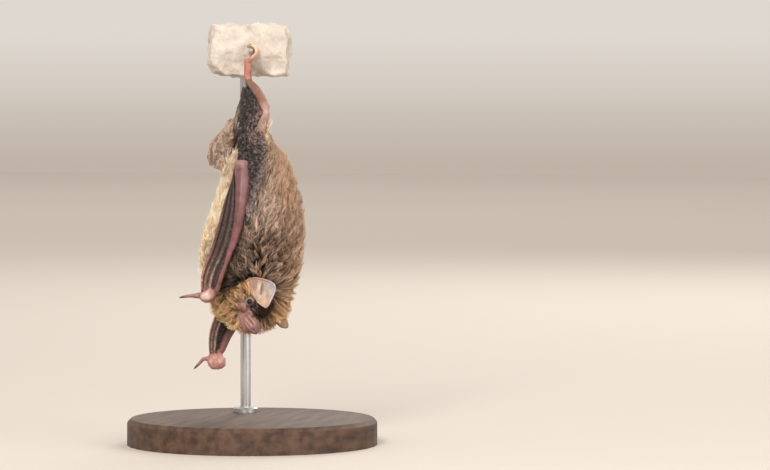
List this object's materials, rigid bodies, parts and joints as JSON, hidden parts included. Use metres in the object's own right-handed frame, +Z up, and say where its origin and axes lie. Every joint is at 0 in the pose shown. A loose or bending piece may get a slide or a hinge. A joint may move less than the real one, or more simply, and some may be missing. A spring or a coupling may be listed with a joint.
{
  "type": "hanging bat",
  "caption": "Life-size furry bat hanging head down from a piece of rough plaster, wings folded along its flanks and head turned to one side, on a rod and round base.",
  "frame": {"origin": "centre of the round base's underside, on the surface it stands on", "axes": "+Z up; the bat hangs head down with its back to -Y, its belly to +Y, its right side to -X and its left side to +X"},
  "size_m": [0.076, 0.076, 0.1281],
  "materials": {
    "fur": "tousled greyish brown coat, matt",
    "skin": "bare pink-brown skin, slightly moist",
    "membrane": "dark grey-brown wing skin, finely crinkled",
    "ear": "pale thin ear skin",
    "eye": "wet and glossy",
    "wood": "dark stained, satin",
    "steel": "brushed",
    "plaster": "rough warm white plaster"
  },
  "bodies": {
    "root": {"eye_right": "eye", "eye_left": "eye", "foot_right": "skin", "foot_left": "skin", "wrist_right": "skin", "wrist_left": "skin", "thumb_right": "skin", "thumb_left": "skin", "forearm_right": "skin", "forearm_left": "skin", "shin_right": "skin", "shin_left": "skin", "fingers_right": "membrane", "fingers_left": "membrane", "head": "fur", "ear_right": "ear", "ear_left": "ear", "thigh_right": "fur", "thigh_left": "fur", "upper_arm_right": "fur", "upper_arm_left": "fur", "tail": "membrane", "wing_membrane_right": "membrane", "wing_membrane_left": "membrane", "tail_membrane_right": "membrane", "tail_membrane_left": "membrane", "neck": "fur", "trunk": "fur", "stand_rod": "steel", "stand_perch": "plaster", "stand_base": "wood"}
  },
  "joints": []
}
